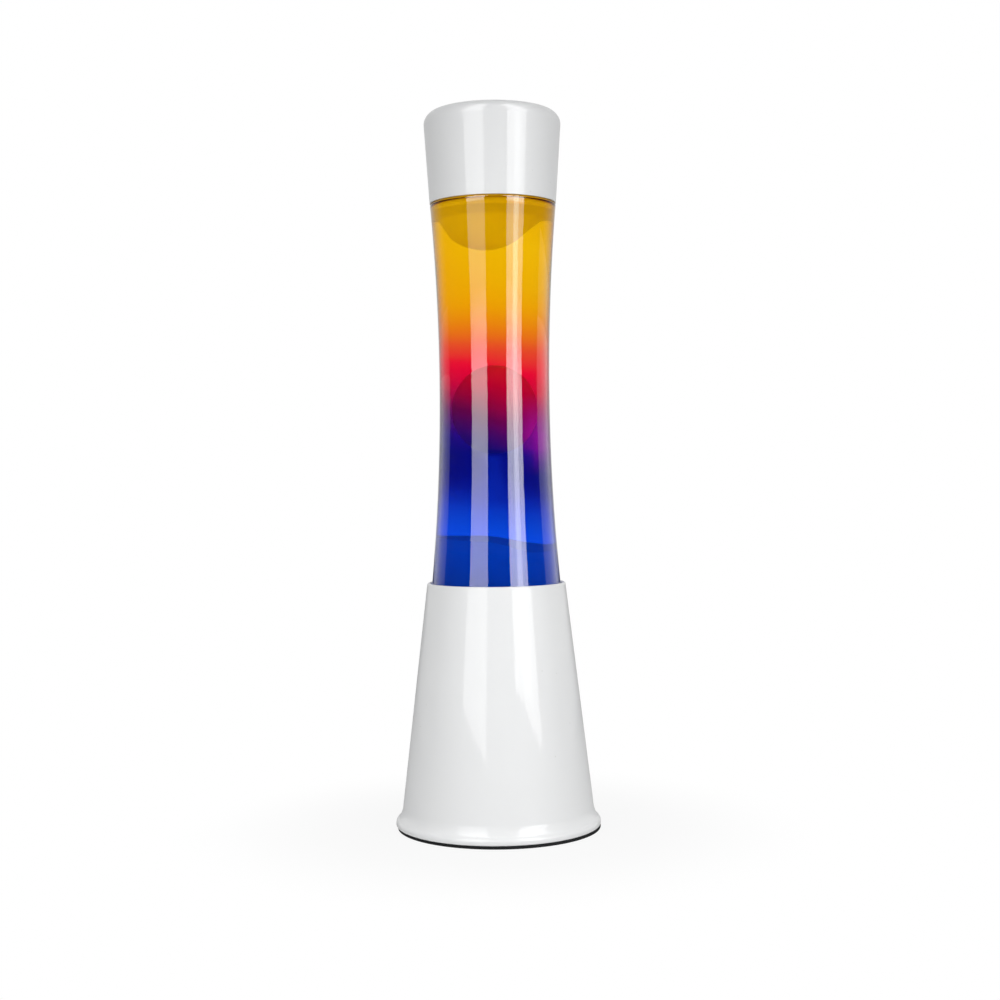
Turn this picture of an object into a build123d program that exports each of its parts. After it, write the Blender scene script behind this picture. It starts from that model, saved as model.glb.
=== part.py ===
from build123d import *
import math
import os

# A liquid motion lamp: a waisted bottle of dyed liquid and wax stands in a spun
# cone with a reflector bulb under it, and wears a spun cap over its crown-sealed neck.
# Millimetres, +Z up, the floor at z = 0 and the lamp's axis on Z.

# Gaps
seat_gap = 0.3  # curved faces of two bodies that rest on each other
film = 0.05  # pieces of one body that lie against each other
thread_gap = 0.35  # bulb cap in its socket

# Foot pad
pad_thick = 2.0
pad_width = 9.5
pad_inset = 1.3

# Spun cone
base_height = 134.0
base_sheet = 1.0
rim_r = 38.0
hem_width = 2.1
hem_depth = 5.0
cone_foot_r = 52.2
flare_z = 12.5
flare_angle = 50.0
lip_round = 3.0
foot_flange = 2.6

# Pressed ring that the bottle stands on
seat_z = 102.0
seat_sheet = 1.0
seat_hole_r = 26.0
seat_flange = 8.0
seat_curl = 4.0
seat_bend = 1.8

# Closing plate, its lugs and screws
plate_thick = 1.0
vent_count = 8
vent_r = 2.5
vent_pitch_r = 34.0
lug_count = 3
lug_sheet = 1.2
lug_reach = 14.5
lug_height = 22.0
lug_arc = 15.0
lug_bend = 2.0
screw_r = 1.5
screw_head_r = 2.9
screw_head = 1.5
screw_length = 6.5
screw_inset = 3.6

# Strap, rivets, nipple and nut under the lamp holder
strap_sheet = 1.0
strap_width = 16.0
strap_rise = 7.5
strap_length = 54.0
strap_foot_length = 8.0
strap_slant = 3.5
strap_bend = 1.6
rivet_r = 1.6
rivet_head_r = 3.0
rivet_head = 0.9
rivet_inset = 4.0
nipple_r = 5.0
nipple_bore_r = 3.7
nipple_grip = 4.0
nipple_tail = 4.4
nut_width = 14.0
nut_thick = 3.0

# Lamp holder
holder_r = 14.0
holder_neck_r = 12.4
holder_step_z = 26.0
holder_height = 29.5
holder_floor = 6.5
holder_ledge = 12.0
holder_well_r = 6.4
holder_round = 1.2
sleeve_thick = 0.5
sleeve_length = 16.0
contact_sheet = 0.5
contact_width = 4.5
contact_foot = 3.2
contact_top = 3.0
contact_bend = 0.8
block_length = 6.0
block_width = 4.6
block_height = 5.0
block_z = 16.0
terminal_r = 1.5
terminal_head_r = 1.9
terminal_head = 1.2

# Reflector bulb with a small screw cap
bulb_length = 66.0
bulb_r = 19.5
bulb_corner = 6.0
bulb_corner_turn = 50.0
bulb_wall = 0.7
bulb_cap_r = 6.95
bulb_cap_wall = 0.35
bulb_cap_length = 18.5
bulb_cap_nose = 3.0
bulb_nose_r = 5.2
bulb_neck_r = 6.3
bulb_throat_r = 8.6
bulb_throat_z = 25.0
solder_r = 2.4
solder_height = 1.0
stem_r = 2.6
stem_height = 30.0
exhaust_r = 1.4
lead_r = 0.3
lead_spread = 6.5
lead_height = 38.0

# Cord hole with two flats, and its rubber ring
cord_hole_z = 22.0
cord_bore_r = 3.6
grommet_wall = 1.8
grommet_flat = 1.0
grommet_lip = 2.0
grommet_lip_thick = 1.8

# Bottle
bottle_r = 35.5
bottle_foot = 29.0
waist_r = 30.2
waist_height = 141.0
bottle_top_r = 34.5
body_height = 238.9
shoulder_round = 1.2
shoulder_slope = 30.0
glass_wall = 2.6
glass_floor = 4.0
heel_round = 5.0
standing_ring = 3.5
punt_height = 5.0
inner_shoulder_drop = 5.9
inner_shoulder_round = 6.0
neck_r = 12.7
neck_bore_r = 9.2
neck_round = 8.0
neck_height = 44.1
finish_r = 13.3
bead_height = 3.0
bead_round = 1.4
ring_drop = 13.0
ring_r = 14.0
ring_height = 4.0
ring_round = 1.2

# Crown and its liner
flute_count = 21
crown_sheet = 0.35
crown_height = 6.0
crown_top_r = 13.0
crown_round = 0.9
crown_edge_r = 14.05
flute_depth = 0.55
liner_thick = 0.8
liner_r = 12.1

# Ring of coiled wire on the bottle's floor
coil_ring_r = 24.0
coil_r = 3.1
coil_wire_r = 0.6
coil_turns = 20
coil_arc = 346.0

# Liquid and wax
fill_drop = 17.0
dome_drop = 24.9
dome_r = 23.0
dome_turn = 70.0  # degrees
dome_rim_round = 6.0
dome_rim_slope = 10.0  # degrees
pool_height = 58.0
pool_curve_r = 200.0
pool_tilt_x = -28.0
blob_height = 127.2
blob_r = 17.8
blob_half = 24.2

# Spun cap
cap_sheet = 0.9
cap_headroom = 5.05
cap_rim_r = 34.7
cap_top_r = 37.6
cap_round = 7.0

os.makedirs("parts", exist_ok=True)


def save(shape, name):
    """Write one piece, under the name that it goes by."""
    export_step(shape, "parts/" + name + ".step")


def turned(lines, angle=360.0):
    """A turned solid: lines close an outline in radius and height, spun round the axis."""
    return revolve(Plane.XZ * make_face(lines), Axis.Z, angle)


def box_outline(r_in, r_out, low, high):
    """A plain rectangular outline in radius and height."""
    return Polyline((r_in, low), (r_out, low), (r_out, high), (r_in, high), close=True)


def bent_strip(points, bend, thick):
    """The section of a bent sheet: points follow one face and the sheet lies to its left."""
    return FilletPolyline(*points, radius=bend).offset_2d(thick, side=Side.LEFT)


def drilled(r, low, high, x=0.0, y=0.0):
    """A round pin or drilling along Z."""
    return Pos(x, y, (low + high) / 2) * Cylinder(r, high - low)


def ring_of(count, r, shape, start=0.0):
    """Copies of one shape, evenly round the axis."""
    return [Rot(0, 0, start + 360.0 * i / count) * Pos(r, 0, 0) * shape for i in range(count)]


# Spun cone: hemmed rim, straight cone, concave flare and a lip that turns in under the foot

hem_round = hem_width / 2
cone_top_z = base_height - hem_round
rim_bore_r = rim_r - hem_width
cone_angle = math.atan2(cone_foot_r - rim_r, cone_top_z - flare_z)
flare = math.radians(flare_angle)
flare_drop = flare_z - pad_thick - lip_round * (1 + math.sin(flare))
flare_round = flare_drop / (math.sin(flare) - math.sin(cone_angle))
cone_down = Vector(math.sin(cone_angle), -math.cos(cone_angle))
cone_in = Vector(-math.cos(cone_angle), -math.sin(cone_angle))


def cone_r(z, inset=0.0):
    """Radius of the cone's outer face at a height, or of a face that lies inset inside it."""
    return rim_r + (cone_top_z - z) * math.tan(cone_angle) - inset / math.cos(cone_angle)


def cone_lines(top_z, inset):
    """The cone's side from a height down to the foot's flange, set in from the outer face."""
    flare_start = Vector(cone_foot_r, flare_z) + cone_in * inset
    side = Line((cone_r(top_z, inset), top_z), flare_start)
    turn_out = math.degrees(flare - cone_angle)
    sweep_out = JernArc(side @ 1, cone_down, flare_round + inset, turn_out)
    lip = JernArc(sweep_out @ 1, sweep_out % 1, lip_round - inset, -(90.0 + flare_angle))
    return [side, sweep_out, lip]


def base_shell():
    outer = cone_lines(cone_top_z, 0.0)
    inner = cone_lines(base_height - hem_depth, base_sheet)
    lip_end = outer[-1] @ 1
    flange_in = lip_end.X - foot_flange
    inner_start = inner[0] @ 0
    hem_foot = Vector(rim_bore_r, inner_start.Y)
    hem_top = Vector(rim_bore_r, cone_top_z)
    hem_crest = Vector(rim_r - hem_round, base_height)
    lines = outer + inner
    lines.append(Line(lip_end, (flange_in, lip_end.Y)))
    lines.append(Line((flange_in, lip_end.Y), (flange_in, lip_end.Y + base_sheet)))
    lines.append(Line((flange_in, lip_end.Y + base_sheet), inner[-1] @ 1))
    lines.append(Line(inner_start, hem_foot))
    lines.append(Line(hem_foot, hem_top))
    lines.append(ThreePointArc(hem_top, hem_crest, outer[0] @ 0))
    shell = turned(lines)
    return shell - cord_frame() * cord_hole(0.0)


def cord_frame():
    """Place on the outer face of the cone, at the back, that looks straight out of the wall."""
    outwards = (0, math.cos(cone_angle), math.sin(cone_angle))
    return Plane(origin=(0, cone_r(cord_hole_z), cord_hole_z), x_dir=(1, 0, 0), z_dir=outwards)


def cord_hole(clear):
    """Cutter for the cord hole: round with two flats, which keep the rubber ring from turning."""
    half_flat = cord_bore_r + grommet_flat - clear
    reach = 8 * base_sheet
    return Cylinder(cord_bore_r + grommet_wall - clear, reach) & Box(reach * 2, half_flat * 2, reach)


def cord_grommet():
    """Rubber ring with a groove that takes the edge of the cord hole."""
    lip_r = cord_bore_r + grommet_wall + grommet_lip
    reach = grommet_lip_thick + lip_r * lip_r / (2 * cone_r(cord_hole_z))
    blank = Pos(0, 0, -base_sheet / 2) * Cylinder(lip_r, base_sheet + 2 * reach)
    blank = chamfer(blank.edges().filter_by(GeomType.CIRCLE), grommet_lip_thick / 3)
    blank = blank - Cylinder(cord_bore_r, 8 * reach)
    wall = turned(wall_band(lip_r + 2))
    wall = wall - cord_frame() * cord_hole(film)
    return cord_frame() * blank - wall


def wall_band(half_height):
    """Outline of the cone's wall near the cord hole, a film's width thicker each way."""
    low = cord_hole_z - half_height
    high = cord_hole_z + half_height
    out = -film
    back = base_sheet + film
    corners = [(cone_r(low, back), low), (cone_r(low, out), low)]
    corners = corners + [(cone_r(high, out), high), (cone_r(high, back), high)]
    return Polyline(*corners, close=True).edges()


def base_pad():
    lip_r = cone_lines(cone_top_z, 0.0)[-1].arc_center.X + lip_round
    outer = lip_r - pad_inset
    return turned(box_outline(outer - pad_width, outer, 0.0, pad_thick).edges())


# Pressed ring: it hugs the cone, and its shelf carries the bottle's standing ring


def bottle_seat():
    hug = base_sheet + film
    flange_z = seat_z - seat_flange
    points = [(cone_r(flange_z, hug), flange_z), (cone_r(seat_z, hug), seat_z)]
    points = points + [(seat_hole_r, seat_z), (seat_hole_r, seat_z - seat_curl)]
    return turned(bent_strip(points, seat_bend, seat_sheet).edges())


# Closing plate inside the foot's flange, lugs that it is screwed to, and the screws

flange_bore_r = cone_lines(cone_top_z, 0.0)[-1].arc_center.X - foot_flange
plate_r = flange_bore_r - seat_gap
plate_top = pad_thick + plate_thick
lug_hug = base_sheet + film
lug_corner_r = cone_r(plate_top, lug_hug)
screw_ring_r = lug_corner_r - lug_reach + screw_inset
strap_z = plate_top + strap_rise
holder_z = strap_z + strap_sheet
rivet_x = strap_length / 2 - rivet_inset


def base_plate():
    plate = drilled(plate_r, pad_thick, plate_top)
    vent = drilled(vent_r, 0.0, 2 * plate_top)
    screw_hole = drilled(screw_r + film, 0.0, 2 * plate_top)
    rivet_hole = drilled(rivet_r + film, 0.0, 2 * plate_top)
    plate = plate - ring_of(vent_count, vent_pitch_r, vent, 180.0 / vent_count)
    plate = plate - ring_of(lug_count, screw_ring_r, screw_hole, 30.0)
    return plate - ring_of(2, rivet_x, rivet_hole)


def plate_lug():
    """Angle lug: one leg follows the cone's inside, the other lies on the plate."""
    leg_top = plate_top + lug_height
    points = [(lug_corner_r - lug_reach, plate_top), (lug_corner_r, plate_top)]
    points = points + [(cone_r(leg_top, lug_hug), leg_top)]
    section = bent_strip(points, lug_bend, lug_sheet)
    lug = Rot(0, 0, -lug_arc / 2) * turned(section.edges(), lug_arc)
    return lug - drilled(screw_r + film, 0.0, leg_top, screw_ring_r)


def plate_screw():
    head = drilled(screw_head_r, pad_thick - screw_head, pad_thick, screw_ring_r)
    head = fillet(head.edges().group_by(Axis.Z)[0], screw_head / 2)
    return head + drilled(screw_r, pad_thick - film, pad_thick + screw_length, screw_ring_r)


# Strap, rivets, nipple and nut


def holder_bracket():
    half = strap_length / 2
    foot_end = half - strap_foot_length
    points = [(-half, plate_top), (-foot_end, plate_top), (strap_slant - foot_end, strap_z)]
    points = points + [(-x, z) for x, z in reversed(points)]
    section = bent_strip(points, strap_bend, strap_sheet)
    strap = extrude(Plane.XZ * make_face(section.edges()), strap_width / 2, both=True)
    strap = strap - drilled(nipple_r + film, 0.0, 2 * holder_z)
    return strap - ring_of(2, rivet_x, drilled(rivet_r + film, 0.0, 2 * plate_top))


def bracket_rivet():
    grip_top = plate_top + strap_sheet
    low_head = drilled(rivet_head_r, pad_thick - rivet_head, pad_thick)
    low_head = fillet(low_head.edges().group_by(Axis.Z)[0], rivet_head / 2)
    top_head = drilled(rivet_head_r, grip_top, grip_top + rivet_head)
    top_head = fillet(top_head.edges().group_by(Axis.Z)[-1], rivet_head / 2)
    return low_head + drilled(rivet_r, pad_thick - film, grip_top + film) + top_head


def holder_nipple():
    low = strap_z - nipple_tail
    high = holder_z + nipple_grip
    return turned(box_outline(nipple_bore_r, nipple_r, low, high).edges())


def nipple_nut():
    nut = extrude(RegularPolygon(nut_width / 2, 6, major_radius=False), nut_thick)
    nut = Pos(0, 0, strap_z - nut_thick) * nut
    return nut - drilled(nipple_r + film, 0.0, holder_z)


# Lamp holder: moulded body, threaded sleeve on a ledge, spring contact and two terminals

well_z = holder_z + holder_floor
ledge_z = holder_z + holder_ledge
sleeve_bore_r = bulb_cap_r + thread_gap
sleeve_r = sleeve_bore_r + sleeve_thick
terminal_x = holder_r - block_width / 2 - terminal_head
solder_z = well_z + contact_top + contact_sheet + seat_gap


def holder_body():
    top = holder_z + holder_height
    points = [(nipple_r + film, holder_z), (holder_r, holder_z), (holder_r, holder_step_z)]
    points = points + [(holder_neck_r, holder_step_z), (holder_neck_r, top)]
    points = points + [(sleeve_r + film, top), (sleeve_r + film, ledge_z), (holder_well_r, ledge_z)]
    points = points + [(holder_well_r, well_z), (terminal_r, well_z)]
    entry_top = holder_z + nipple_grip + film
    points = points + [(terminal_r, entry_top), (nipple_r + film, entry_top)]
    body = turned(Polyline(*points, close=True).edges())
    body = fillet(body.edges().filter_by(GeomType.CIRCLE).group_by(SortBy.RADIUS)[-1], holder_round)
    pocket = Box(2 * block_width, block_length + 2 * film, block_height + 2 * film)
    for side in (-1, 1):
        inner_x = terminal_x - block_width / 2 - film
        body = body - Pos(side * (inner_x + block_width), 0, block_z) * pocket
    return body


def holder_sleeve():
    outline = box_outline(sleeve_bore_r, sleeve_r, ledge_z, ledge_z + sleeve_length)
    return turned(outline.edges())


def centre_contact():
    """Bent spring strip: two feet on the well's floor and a raised bridge under the bulb."""
    bridge = well_z + contact_top
    half = holder_well_r - contact_width / 4 - film
    inner = half - contact_foot / 2
    points = [(-half, well_z), (-inner, well_z), (-contact_foot / 2, bridge)]
    points = points + [(-x, z) for x, z in reversed(points)]
    section = bent_strip(points, contact_bend, contact_sheet)
    return extrude(Plane.XZ * make_face(section.edges()), contact_width / 2, both=True)


def terminal_block():
    block = Pos(terminal_x, 0, block_z) * Box(block_width, block_length, block_height)
    bore = Rot(0, 90, 0) * Cylinder(terminal_r + film, 4 * block_width)
    return block - Pos(terminal_x, 0, block_z) * bore


def terminal_screw():
    """Slotted screw, drawn upright and then laid along X in the block."""
    head = drilled(terminal_head_r, 0.0, terminal_head)
    shank = drilled(terminal_r, -block_width, film)
    slot = Pos(0, 0, terminal_head) * Box(terminal_head / 2, 4 * terminal_head_r, terminal_head)
    screw = head + shank - slot
    return Pos(terminal_x + block_width / 2, 0, block_z) * Rot(0, 90, 0) * screw


# Reflector bulb: every height counts from its solder contact

nose_top = solder_z + solder_height
cap_low = nose_top + bulb_cap_nose
cap_high = solder_z + bulb_cap_length + solder_height
throat_z = solder_z + bulb_throat_z
bulb_top = solder_z + bulb_length
corner_turn = math.radians(bulb_corner_turn)
dome_edge_r = bulb_r - bulb_corner * (1 - math.cos(corner_turn))
front_r = dome_edge_r / math.cos(corner_turn)
front_z = bulb_top - front_r * (1 - math.sin(corner_turn)) - bulb_corner * math.sin(corner_turn)


def bulb_side(inset):
    """The envelope's side and front, set in from its outer face."""
    start = Vector(bulb_neck_r - inset, cap_low + bulb_cap_nose)
    neck = Line(start, (bulb_neck_r - inset, cap_high - bulb_cap_nose))
    throat = Vector(bulb_throat_r - inset, throat_z)
    wide = Vector(bulb_r - inset, front_z)
    flank = Spline(neck @ 1, throat, wide, tangents=[(0, 1), (0, 1)])
    corner = JernArc(wide, (0, 1), bulb_corner - inset, bulb_corner_turn)
    front = JernArc(corner @ 1, corner % 1, front_r - inset, 90.0 - bulb_corner_turn)
    return [neck, flank, corner, front]


def bulb_glass():
    outer = bulb_side(0.0)
    inner = bulb_side(bulb_wall)
    foot = Line(outer[0] @ 0, inner[0] @ 0)
    crest = Line(outer[-1] @ 1, inner[-1] @ 1)
    return turned(outer + inner + [foot, crest])


def bulb_cap():
    """Thin brass cup, drawn in at the nose to grip the glass disc."""
    nose = bulb_nose_r + film + bulb_cap_wall
    wall = bulb_cap_wall
    points = [(nose, nose_top), (bulb_cap_r, cap_low), (bulb_cap_r, cap_high)]
    points = points + [(r - wall, z) for r, z in reversed(points)]
    return turned(Polyline(*points, close=True).edges())


def bulb_insulator():
    grip_r = bulb_cap_r - bulb_cap_wall - film
    points = [(exhaust_r + film, nose_top), (bulb_nose_r - film, nose_top), (grip_r - film, cap_low)]
    points = points + [(grip_r - film, cap_low + film), (exhaust_r + film, cap_low + film)]
    return turned(Polyline(*points, close=True).edges())


def bulb_contact():
    """Solder dome with its tail in the hole of the glass disc."""
    root_z = nose_top - film
    dome = TangentArc((0, solder_z), (solder_r, root_z), tangent=(1, 0))
    tail = Polyline(dome @ 1, (exhaust_r, root_z), (exhaust_r, cap_low), (0, cap_low), dome @ 0)
    return turned([dome] + tail.edges())


def bulb_stem():
    """Glass stem: exhaust tube, flare that seals the neck, and the pinch that holds the wires."""
    seal_r = bulb_neck_r - bulb_wall - film
    seal_z = cap_low + bulb_cap_nose
    stem_top = solder_z + stem_height
    points = [(0, cap_low + 2 * film), (exhaust_r, cap_low + 2 * film), (exhaust_r, seal_z)]
    points = points + [(seal_r, seal_z), (stem_r, seal_z + seal_r), (stem_r, stem_top), (0, stem_top)]
    return turned(Polyline(*points, close=True).edges())


def wire_between(points, bend, r):
    """Round wire along straight runs with bends."""
    path = FilletPolyline(*points, radius=bend)
    return sweep(Plane(origin=path @ 0, z_dir=path % 0) * Circle(r), path=path)


def bulb_leads():
    """Two lead wires that spread to the filament's ends, and the straight support wire."""
    low = solder_z + stem_height
    high = solder_z + lead_height
    near = stem_r / 2
    bend = lead_spread / 4
    leads = []
    for side in (-1, 1):
        points = [(side * near, 0, low), (side * near, 0, low + bend)]
        points = points + [(side * lead_spread, 0, high - bend), (side * lead_spread, 0, high)]
        leads.append(wire_between(points, bend / 2, lead_r))
    support = drilled(lead_r, low, high + lead_spread - 2 * lead_r - film)
    return leads + [support]


def bulb_filament():
    high = solder_z + lead_height
    arc = ThreePointArc((lead_spread, 0, high), (0, 0, high + lead_spread), (-lead_spread, 0, high))
    return sweep(Plane(origin=arc @ 0, z_dir=arc % 0) * Circle(lead_r), path=arc)


# Bottle: standing ring and punt, heel, waisted wall, shoulder, neck and finish

waist_z = seat_z + waist_height
shoulder_z = seat_z + body_height
inner_shoulder_z = shoulder_z - inner_shoulder_drop
finish_z = shoulder_z + neck_height
ring_z = finish_z - ring_drop
stand_r = bottle_r - heel_round
punt_r = stand_r - standing_ring
slope = math.radians(shoulder_slope)
slope_in = Vector(-math.cos(slope), math.sin(slope))


def shoulder_and_neck(side, corner_round, neck, fillet_round, top_z):
    """From a wall's top over the shoulder's corner, up its slope and into the neck."""
    lean = side % 1
    turn = 180.0 - shoulder_slope - math.degrees(math.atan2(lean.Y, lean.X))
    corner = JernArc(side @ 1, lean, corner_round, turn)
    fall = corner.position_at(1).X - neck - fillet_round * (1 - math.sin(slope))
    incline = Line(corner @ 1, (corner @ 1) + slope_in * (fall / math.cos(slope)))
    bend = JernArc(incline @ 1, slope_in, fillet_round, shoulder_slope - 90.0)
    rise = Line(bend @ 1, (neck, top_z))
    return [corner, incline, bend, rise]


def bottle_outer():
    wall_low = Line((bottle_r, seat_z + heel_round), (bottle_r, seat_z + bottle_foot))
    wall = ThreePointArc(wall_low @ 1, (waist_r, waist_z), (bottle_top_r, shoulder_z))
    punt = punt_line(0.0)
    ring = Line(punt @ 1, (stand_r, seat_z))
    heel = JernArc(ring @ 1, (1, 0), heel_round, 90)
    top = shoulder_and_neck(wall, shoulder_round, neck_r, neck_round, finish_z)
    return [punt, ring, heel, wall_low, wall] + top


def punt_line(raised):
    """The dome of the punt: its height falls with the square of the radius."""
    edge_z = seat_z + raised
    crest = (0, edge_z + punt_height)
    half_way = (punt_r / 2, edge_z + punt_height * (1 - 1 / 4))
    return ThreePointArc(crest, half_way, (punt_r, edge_z))


def bottle_inner(inset, top_z):
    """The inside of the bottle, set in from its inner face, up to a height in the neck."""
    wall_r = bottle_r - glass_wall - inset
    heel = heel_round - glass_wall / 2
    floor = punt_line(glass_floor + inset)
    flat = Line(floor @ 1, (wall_r - heel, (floor @ 1).Y))
    corner = JernArc(flat @ 1, (1, 0), heel, 90)
    wall_low = Line(corner @ 1, (wall_r, seat_z + bottle_foot))
    waist = Vector(waist_r - glass_wall - inset, waist_z)
    wall = ThreePointArc(wall_low @ 1, waist, (bottle_top_r - glass_wall - inset, inner_shoulder_z))
    top = shoulder_and_neck(wall, inner_shoulder_round, neck_bore_r - inset, neck_round, top_z)
    return [floor, flat, corner, wall_low, wall] + top


def neck_band(r, low, high, edge_round):
    """A raised band round the neck with rounded edges."""
    band = drilled(r, low, high)
    return fillet(band.edges().filter_by(GeomType.CIRCLE), edge_round)


def bottle_glass():
    outer = bottle_outer()
    outer.append(Polyline(outer[-1] @ 1, (0, finish_z), outer[0] @ 0))
    blank = turned([edge for line in outer for edge in line.edges()])
    collar = neck_band(ring_r, ring_z - ring_height / 2, ring_z + ring_height / 2, ring_round)
    bead = neck_band(finish_r, finish_z - bead_height, finish_z, bead_round)
    inner = bottle_inner(0.0, finish_z)
    inner.append(Polyline(inner[-1] @ 1, (0, finish_z), inner[0] @ 0))
    cavity = turned([edge for line in inner for edge in line.edges()])
    return blank + bead + collar - cavity


# Crown: flat top, rounded edge and a skirt pressed into flutes that lock under the bead

crown_z = finish_z + liner_thick + crown_sheet
crown_low = crown_z - crown_height


def fluted_line(z, r, depth):
    """A closed wavy line, one wave to each flute."""
    count = 4 * flute_count
    points = []
    for i in range(count):
        angle = 2 * math.pi * i / count
        wave = r + depth * math.cos(flute_count * angle)
        points.append((wave * math.cos(angle), wave * math.sin(angle), z))
    return Wire([Spline(*points, periodic=True)])


def crown_solid(inset, low):
    """The crown's outside as a solid, or its inside where an inset is given."""
    top = crown_z - inset
    edge_r = crown_top_r + crown_round - inset
    sections = [fluted_line(low, crown_edge_r - inset, flute_depth)]
    sections.append(fluted_line(top - 2 * crown_round, edge_r, 0.0))
    sections.append(fluted_line(top - crown_round / 2, edge_r - crown_round / 4, 0.0))
    sections.append(fluted_line(top, crown_top_r - inset, 0.0))
    return Solid.make_loft(sections, True)


def crown_cap():
    return crown_solid(0.0, crown_low) - crown_solid(crown_sheet, crown_low - film)


def crown_liner():
    return drilled(liner_r, finish_z, finish_z + liner_thick)


# Coiled wire, bent round into a ring: each half turn is two tangent arcs


def coil_point(turn):
    """Point and direction on the coil, counted in turns."""
    ring = math.radians(coil_arc) * turn / coil_turns
    loop = 2 * math.pi * turn
    ring_rate = math.radians(coil_arc) / coil_turns
    r = coil_ring_r + coil_r * math.cos(loop)
    r_rate = -coil_r * math.sin(loop) * 2 * math.pi
    z = coil_z + coil_r * math.sin(loop)
    point = Vector(r * math.cos(ring), r * math.sin(ring), z)
    x_rate = r_rate * math.cos(ring) - r * math.sin(ring) * ring_rate
    y_rate = r_rate * math.sin(ring) + r * math.cos(ring) * ring_rate
    z_rate = coil_r * math.cos(loop) * 2 * math.pi
    return point, Vector(x_rate, y_rate, z_rate).normalized()


def two_arcs(start, start_way, end, end_way):
    """Two arcs that leave one point and reach another in given directions."""
    span = end - start
    ways = start_way + end_way
    bend = 2 * (1 - start_way.dot(end_way))
    along = span.dot(ways)
    reach = (math.sqrt(along * along + bend * span.dot(span)) - along) / bend
    middle = (start + start_way * reach + end - end_way * reach) * 0.5
    first = Edge.make_tangent_arc(start, start_way, middle)
    second = Edge.make_tangent_arc(middle, first % 1, end)
    return [first, second]


floor_fall = punt_height * coil_ring_r / punt_r
floor_slope = 2 * floor_fall / punt_r
floor_at_coil = seat_z + glass_floor + punt_height - floor_fall * coil_ring_r / punt_r
coil_z = floor_at_coil + (coil_r + coil_wire_r) * math.hypot(1, floor_slope) + seat_gap


def heating_coil():
    edges = []
    for i in range(2 * coil_turns):
        start, start_way = coil_point(i / 2)
        end, end_way = coil_point((i + 1) / 2)
        edges = edges + two_arcs(start, start_way, end, end_way)
    path = Wire(edges)
    return sweep(Plane(origin=path @ 0, z_dir=path % 0) * Circle(coil_wire_r), path=path)


def coil_gap():
    """Least distance between the wire and itself, on points along it."""
    steps = 24
    points = [coil_point(i / steps)[0] for i in range(coil_turns * steps + 1)]
    least = 2 * coil_ring_r
    for i, point in enumerate(points):
        for other in points[i + steps // 2:]:
            least = min(least, (point - other).length)
    return least - 2 * coil_wire_r


# Liquid and wax share the bottle's inside, film by film

fill_z = finish_z - fill_drop
dome_z = shoulder_z - dome_drop
pool_z = seat_z + pool_height
blob_z = seat_z + blob_height


def contents_face():
    """Half section of all that fills the bottle, up to the fill line."""
    lines = bottle_inner(film, fill_z)
    lines.append(Polyline(lines[-1] @ 1, (0, fill_z), lines[0] @ 0))
    return make_face([edge for line in lines for edge in line.edges()])


def above_dome(rise):
    """Half section of everything above the underside of the top wax, raised a little."""
    dome = JernArc((0, dome_z + rise), (1, 0), dome_r - rise, dome_turn)
    rim = JernArc(dome @ 1, dome % 1, dome_rim_round, dome_rim_slope - dome_turn)
    reach = 2 * bottle_r
    out = Line(rim @ 1, (rim @ 1) + (rim % 1) * reach)
    rest = Polyline(out @ 1, ((out @ 1).X, 2 * fill_z), (0, 2 * fill_z), dome @ 0)
    return make_face([dome, rim, out] + rest.edges())


def spun(face):
    """A half section turned round the axis."""
    return revolve(Plane.XZ * face, Axis.Z)


def pool_hill(grow):
    """A large ball whose gentle top is the pool's surface, high on the left."""
    centre_z = pool_z - pool_curve_r
    return Pos(pool_tilt_x, 0, centre_z) * Sphere(pool_curve_r + grow)


def wax_top():
    return spun(contents_face() & above_dome(0.0))


def wax_pool():
    """Wax in the foot, with a ring-shaped channel that holds the coil."""
    channel = Pos(0, 0, coil_z) * Torus(coil_ring_r, coil_r + coil_wire_r + seat_gap)
    return spun(contents_face()) & pool_hill(0.0) - channel


def blob_outline(grow):
    side = EllipticalCenterArc((0, blob_z), blob_r + grow, blob_half + grow, -90, arc_size=180)
    return [side, Line(side @ 1, side @ 0)]


def wax_blob():
    return turned(blob_outline(0.0))


def liquid():
    body = spun(contents_face() - above_dome(-film))
    return body - pool_hill(film) - turned(blob_outline(seat_gap))


# Spun cap: its rim rests on the bottle's shoulder

cap_rim_z = shoulder_z + shoulder_round + seat_gap
cap_top_z = crown_z + cap_headroom + cap_sheet
cap_height = cap_top_z - cap_rim_z
cap_taper = math.atan2(cap_top_r - cap_rim_r, cap_height - cap_round)


def cap_lines(inset):
    """Side, corner and top of the cap, set in from its outer face."""
    up = Vector(math.sin(cap_taper), math.cos(cap_taper))
    start = Vector(cap_rim_r - inset / math.cos(cap_taper), cap_rim_z)
    rise = cap_height - cap_round * (1 + math.sin(cap_taper)) - inset * math.sin(cap_taper)
    side = Line(start, start + up * (rise / math.cos(cap_taper)))
    corner = JernArc(side @ 1, up, cap_round - inset, 90 + math.degrees(cap_taper))
    top = Line(corner @ 1, (0, (corner @ 1).Y))
    return [side, corner, top]


def cap_shell():
    outer = cap_lines(0.0)
    inner = cap_lines(cap_sheet)
    rim = Line(outer[0] @ 0, inner[0] @ 0)
    crest = Line(outer[-1] @ 1, inner[-1] @ 1)
    return turned(outer + inner + [rim, crest])


# Every piece is written to its own file

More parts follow.
